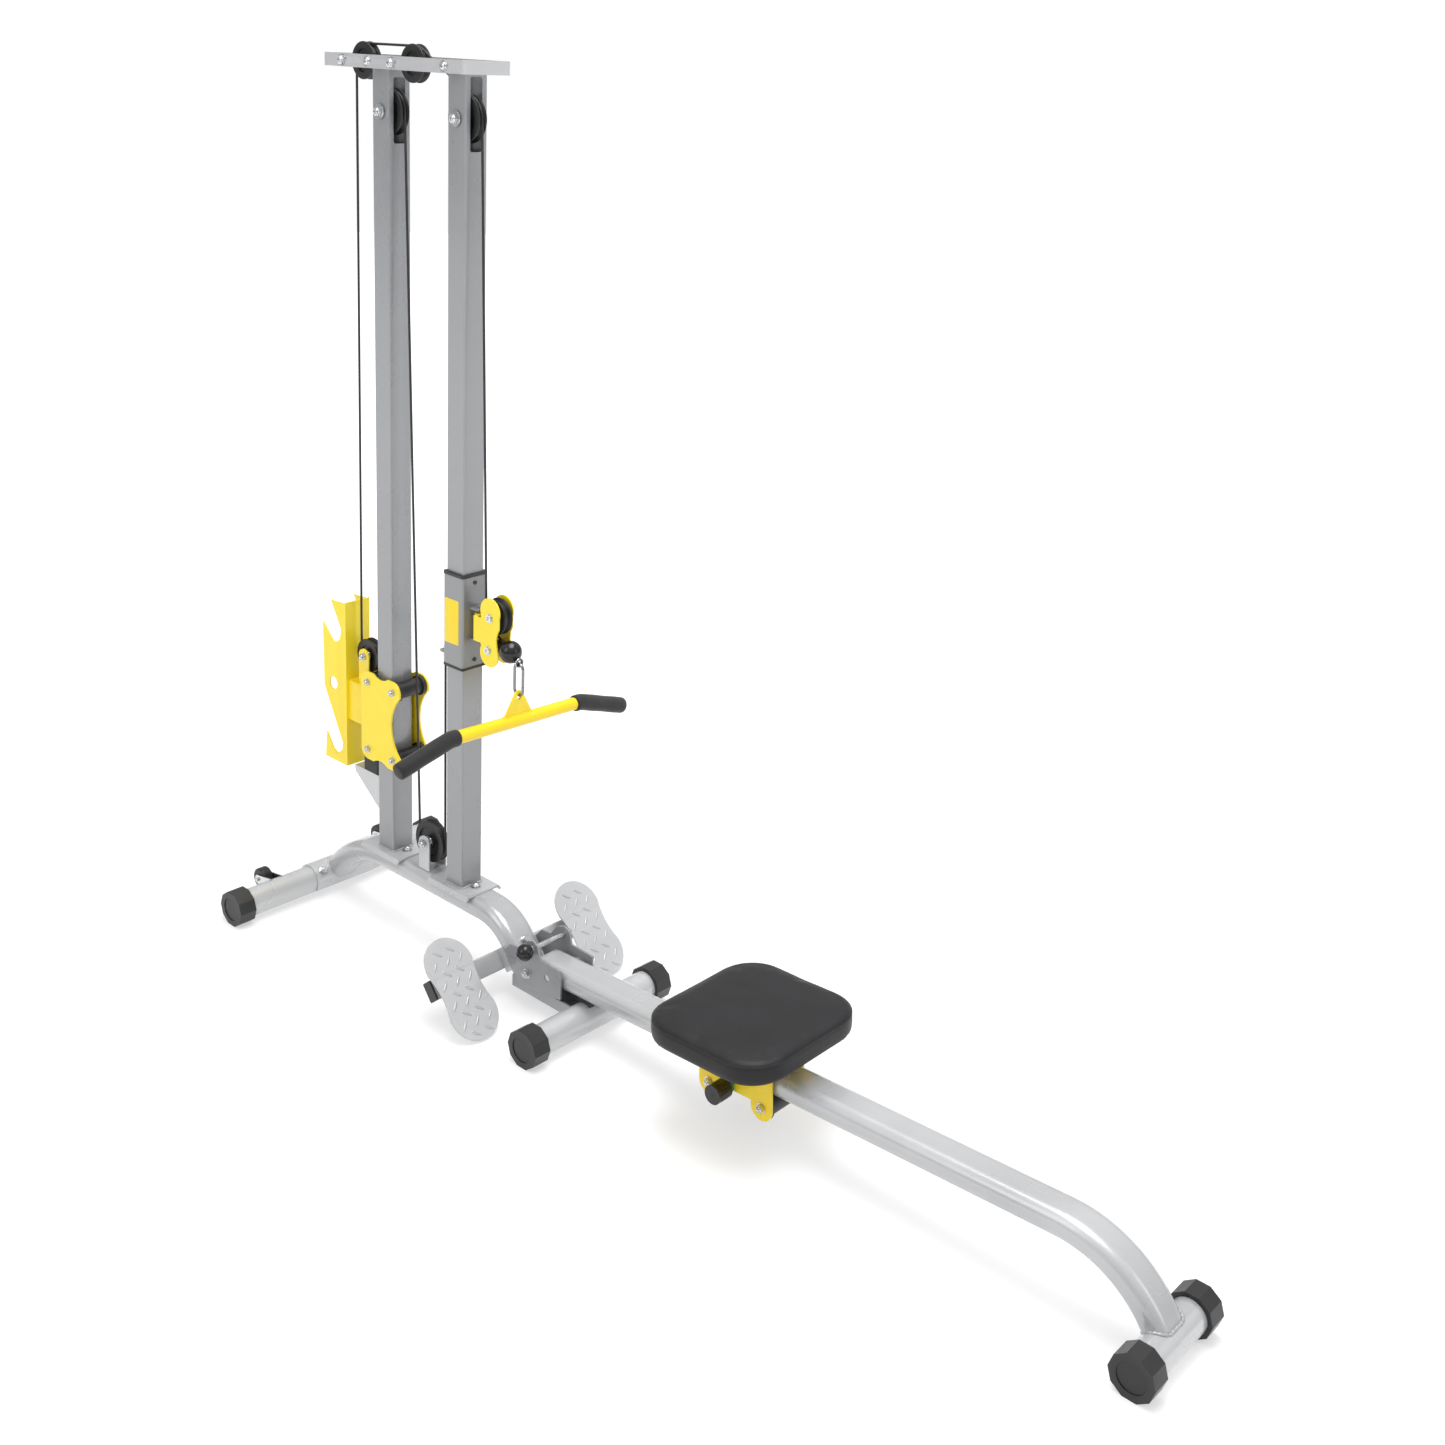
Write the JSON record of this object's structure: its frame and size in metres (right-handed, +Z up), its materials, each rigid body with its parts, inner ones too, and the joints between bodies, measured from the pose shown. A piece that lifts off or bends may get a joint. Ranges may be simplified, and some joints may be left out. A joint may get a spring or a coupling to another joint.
{
  "type": "lat pulldown machine",
  "caption": "Plate-loaded lat pulldown and low row tower: twin square masts on an arched base, cable with lifting carriage, height-set pulley sleeve, angled bar, folding rail with sliding seat.",
  "frame": {"origin": "centre of the footprint, on the floor", "axes": "+X from the transport wheels along the seat rail to the front foot, +Z up, +Y sideways away from the locking knob"},
  "size_m": [2.1728, 0.5878, 1.8455],
  "materials": {
    "frame_paint": "glossy silver-grey metallic paint",
    "yellow_paint": "glossy yellow powder coat",
    "tread_plate": "painted plate with a raised tread",
    "cap_plastic": "moulded black, slightly glossy",
    "stop_rubber": "matte",
    "fasteners": "bright zinc",
    "cable_jacket": "smooth coated cable",
    "pulley_nylon": "satin",
    "ball_plastic": "polished",
    "pin_steel": "bright pin with a black ball",
    "grip_foam": "soft foam",
    "seat_vinyl": "smooth black vinyl"
  },
  "bodies": {
    "frame": {"rear_stabiliser": "frame_paint", "mid_stabiliser": "frame_paint", "end_caps": "cap_plastic", "saddle_plates": "frame_paint", "base_beam": "frame_paint", "rear_mast": "frame_paint", "front_mast": "frame_paint", "head_frame": "frame_paint", "frame_bolts": "fasteners", "pivot_bracket": "frame_paint", "footrest_tube": "frame_paint", "footplate_left": "tread_plate", "footplate_right": "tread_plate", "stop_bracket": "frame_paint", "rubber_stops": "stop_rubber", "cable_frame": "cable_jacket", "cable_lift_runs": "cable_jacket", "cable_run_front": "cable_jacket", "cable_run_back": "cable_jacket"},
    "carriage": {"carriage_frame": "yellow_paint", "weight_holder": "yellow_paint", "carriage_bolts": "fasteners", "cable_carriage": "cable_jacket"},
    "sleeve": {"sleeve": "frame_paint", "sleeve_trim": "cap_plastic"},
    "pulley_head_rear": {"pulley_head_rear": "pulley_nylon"},
    "pulley_head_mid": {"pulley_head_mid": "pulley_nylon"},
    "pulley_front_mast": {"pulley_front_mast": "pulley_nylon"},
    "pulley_rear_mast": {"pulley_rear_mast": "pulley_nylon"},
    "pulley_low": {"pulley_low": "pulley_nylon"},
    "wheel_left": {"wheel_left": "cap_plastic"},
    "wheel_right": {"wheel_right": "cap_plastic"},
    "lock_pin": {"lock_pin": "pin_steel"},
    "pulley_carriage": {"pulley_carriage": "pulley_nylon"},
    "roller_1": {"roller_1": "pulley_nylon"},
    "roller_2": {"roller_2": "pulley_nylon"},
    "roller_3": {"roller_3": "pulley_nylon"},
    "roller_4": {"roller_4": "pulley_nylon"},
    "pop_pin": {"pop_pin": "fasteners"},
    "swivel": {"swivel_plates": "yellow_paint", "swivel_bolts": "fasteners", "cable_swivel": "cable_jacket"},
    "pulley_swivel": {"pulley_swivel": "pulley_nylon"},
    "roller_swivel": {"roller_swivel": "pulley_nylon"},
    "ball": {"ball_stop": "ball_plastic", "cable_end": "cable_jacket"},
    "snap_hook": {"carabiner": "fasteners"},
    "gate": {"carabiner_gate": "fasteners"},
    "bar": {"lat_bar": "yellow_paint", "bar_grips": "grip_foam"},
    "rail": {"rail": "frame_paint", "front_caps": "cap_plastic"},
    "seat": {"seat_pad": "seat_vinyl", "seat_carriage": "yellow_paint"},
    "seat_roller_low_rear": {"seat_roller_low_rear": "pulley_nylon"},
    "seat_roller_low_front": {"seat_roller_low_front": "pulley_nylon"},
    "seat_roller_top_rear": {"seat_roller_top_rear": "pulley_nylon"},
    "seat_roller_top_front": {"seat_roller_top_front": "pulley_nylon"},
    "seat_knob": {"seat_knob": "cap_plastic"}
  },
  "joints": [
    {"name": "carriage_lift", "type": "slide", "parent": "frame", "child": "carriage", "axis": [0, 0, 1], "range_m": [0, 0.24], "deforming": ["cable_lift_runs"]},
    {"name": "sleeve_slide", "type": "slide", "parent": "frame", "child": "sleeve", "axis": [0, 0, 1], "range_m": [-0.3, 0.7], "deforming": ["cable_run_front", "cable_run_back"]},
    {"name": "pulley_head_rear_spin", "type": "hinge", "parent": "frame", "child": "pulley_head_rear", "pos_m": [-0.8735, 0, 1.8095], "axis": [0, 1, 0], "continuous": true},
    {"name": "pulley_head_mid_spin", "type": "hinge", "parent": "frame", "child": "pulley_head_mid", "pos_m": [-0.7215, 0, 1.8095], "axis": [0, 1, 0], "continuous": true},
    {"name": "pulley_front_mast_spin", "type": "hinge", "parent": "frame", "child": "pulley_front_mast", "pos_m": [-0.5715, 0, 1.717], "axis": [0, 1, 0], "continuous": true},
    {"name": "pulley_rear_mast_spin", "type": "hinge", "parent": "frame", "child": "pulley_rear_mast", "pos_m": [-0.7975, 0, 1.717], "axis": [0, 1, 0], "continuous": true},
    {"name": "pulley_low_spin", "type": "hinge", "parent": "frame", "child": "pulley_low", "pos_m": [-0.673, 0, 0.228], "axis": [0, 1, 0], "continuous": true},
    {"name": "wheel_left_spin", "type": "hinge", "parent": "frame", "child": "wheel_left", "pos_m": [-1.0634, -0.158, 0.051], "axis": [0, 1, 0], "continuous": true},
    {"name": "wheel_right_spin", "type": "hinge", "parent": "frame", "child": "wheel_right", "pos_m": [-1.0634, 0.158, 0.051], "axis": [0, 1, 0], "continuous": true},
    {"name": "lock_pin_pull", "type": "slide", "parent": "frame", "child": "lock_pin", "axis": [0, -1, 0], "range_m": [0, 0.1]},
    {"name": "pulley_carriage_spin", "type": "hinge", "parent": "carriage", "child": "pulley_carriage", "pos_m": [-0.879, 0, 0.585], "axis": [0, 1, 0], "continuous": true},
    {"name": "roller_1_spin", "type": "hinge", "parent": "carriage", "child": "roller_1", "pos_m": [-0.8395, 0, 0.3935], "axis": [0, 1, 0], "continuous": true},
    {"name": "roller_2_spin", "type": "hinge", "parent": "carriage", "child": "roller_2", "pos_m": [-0.8395, 0, 0.5445], "axis": [0, 1, 0], "continuous": true},
    {"name": "roller_3_spin", "type": "hinge", "parent": "carriage", "child": "roller_3", "pos_m": [-0.7555, 0, 0.3935], "axis": [0, 1, 0], "continuous": true},
    {"name": "roller_4_spin", "type": "hinge", "parent": "carriage", "child": "roller_4", "pos_m": [-0.7555, 0, 0.5445], "axis": [0, 1, 0], "continuous": true},
    {"name": "pop_pin_push", "type": "slide", "parent": "sleeve", "child": "pop_pin", "axis": [1, 0, 0], "range_m": [0, 0.008]},
    {"name": "swivel_turn", "type": "hinge", "parent": "sleeve", "child": "swivel", "pos_m": [-0.528, 0, 0.7445], "axis": [0, 0, 1], "range_deg": [-45, 45]},
    {"name": "pulley_swivel_spin", "type": "hinge", "parent": "swivel", "child": "pulley_swivel", "pos_m": [-0.475, 0, 0.776], "axis": [0, 1, 0], "continuous": true},
    {"name": "roller_swivel_spin", "type": "hinge", "parent": "swivel", "child": "roller_swivel", "pos_m": [-0.479, 0, 0.709], "axis": [0, 1, 0], "continuous": true},
    {"name": "ball_pull", "type": "slide", "parent": "swivel", "child": "ball", "axis": [0.8516, 0, -0.5241], "range_m": [0, 0.48]},
    {"name": "snap_hook_swing", "type": "hinge", "parent": "ball", "child": "snap_hook", "pos_m": [-0.4098, 0, 0.68425], "axis": [0, 1, 0], "range_deg": [-25, 25]},
    {"name": "gate_open", "type": "hinge", "parent": "snap_hook", "child": "gate", "pos_m": [-0.3978, 0, 0.6536], "axis": [0, -1, 0], "range_deg": [0, 25], "stiffness_Nm_per_rad": 0.05},
    {"name": "bar_tilt", "type": "hinge", "parent": "snap_hook", "child": "bar", "pos_m": [-0.4098, 0, 0.62945], "axis": [1, 0, 0], "range_deg": [-25, 25]},
    {"name": "rail_fold", "type": "hinge", "parent": "frame", "child": "rail", "pos_m": [-0.268, 0, 0.0943], "axis": [0, -1, 0], "range_deg": [0, 80]},
    {"name": "seat_slide", "type": "slide", "parent": "rail", "child": "seat", "axis": [0.9988, 0, 0.048], "range_m": [-0.27, 0.5]},
    {"name": "seat_roller_low_rear_spin", "type": "hinge", "parent": "seat", "child": "seat_roller_low_rear", "pos_m": [0.16356, 0, 0.07218], "axis": [0, 1, 0], "continuous": true},
    {"name": "seat_roller_low_front_spin", "type": "hinge", "parent": "seat", "child": "seat_roller_low_front", "pos_m": [0.28642, 0, 0.07808], "axis": [0, 1, 0], "continuous": true},
    {"name": "seat_roller_top_rear_spin", "type": "hinge", "parent": "seat", "child": "seat_roller_top_rear", "pos_m": [0.15969, 0, 0.15269], "axis": [0, 1, 0], "continuous": true},
    {"name": "seat_roller_top_front_spin", "type": "hinge", "parent": "seat", "child": "seat_roller_top_front", "pos_m": [0.28255, 0, 0.15859], "axis": [0, 1, 0], "continuous": true},
    {"name": "seat_knob_spin", "type": "hinge", "parent": "seat", "child": "seat_knob", "pos_m": [0.21036, 0, 0.08774], "axis": [0, 1, 0], "continuous": true}
  ],
  "couplings": [
    {"joint": "ball_pull", "follows": "carriage_lift", "ratio": 2},
    {"joint": "pulley_head_rear_spin", "follows": "carriage_lift", "rad_per_m": 62.5},
    {"joint": "pulley_head_mid_spin", "follows": "carriage_lift", "rad_per_m": 62.5},
    {"joint": "pulley_front_mast_spin", "follows": "carriage_lift", "rad_per_m": 48.193},
    {"joint": "pulley_swivel_spin", "follows": "carriage_lift", "rad_per_m": -62.5},
    {"joint": "pulley_carriage_spin", "follows": "carriage_lift", "rad_per_m": 31.25},
    {"joint": "pulley_rear_mast_spin", "follows": "sleeve_slide", "rad_per_m": 24.096},
    {"joint": "pulley_low_spin", "follows": "sleeve_slide", "rad_per_m": -24.096},
    {"joint": "roller_1_spin", "follows": "carriage_lift", "rad_per_m": 59.88},
    {"joint": "roller_2_spin", "follows": "carriage_lift", "rad_per_m": 59.88},
    {"joint": "roller_3_spin", "follows": "carriage_lift", "rad_per_m": -59.88},
    {"joint": "roller_4_spin", "follows": "carriage_lift", "rad_per_m": -59.88},
    {"joint": "seat_roller_low_rear_spin", "follows": "seat_slide", "rad_per_m": -50},
    {"joint": "seat_roller_low_front_spin", "follows": "seat_slide", "rad_per_m": -50},
    {"joint": "seat_roller_top_rear_spin", "follows": "seat_slide", "rad_per_m": 66.667},
    {"joint": "seat_roller_top_front_spin", "follows": "seat_slide", "rad_per_m": 66.667}
  ]
}
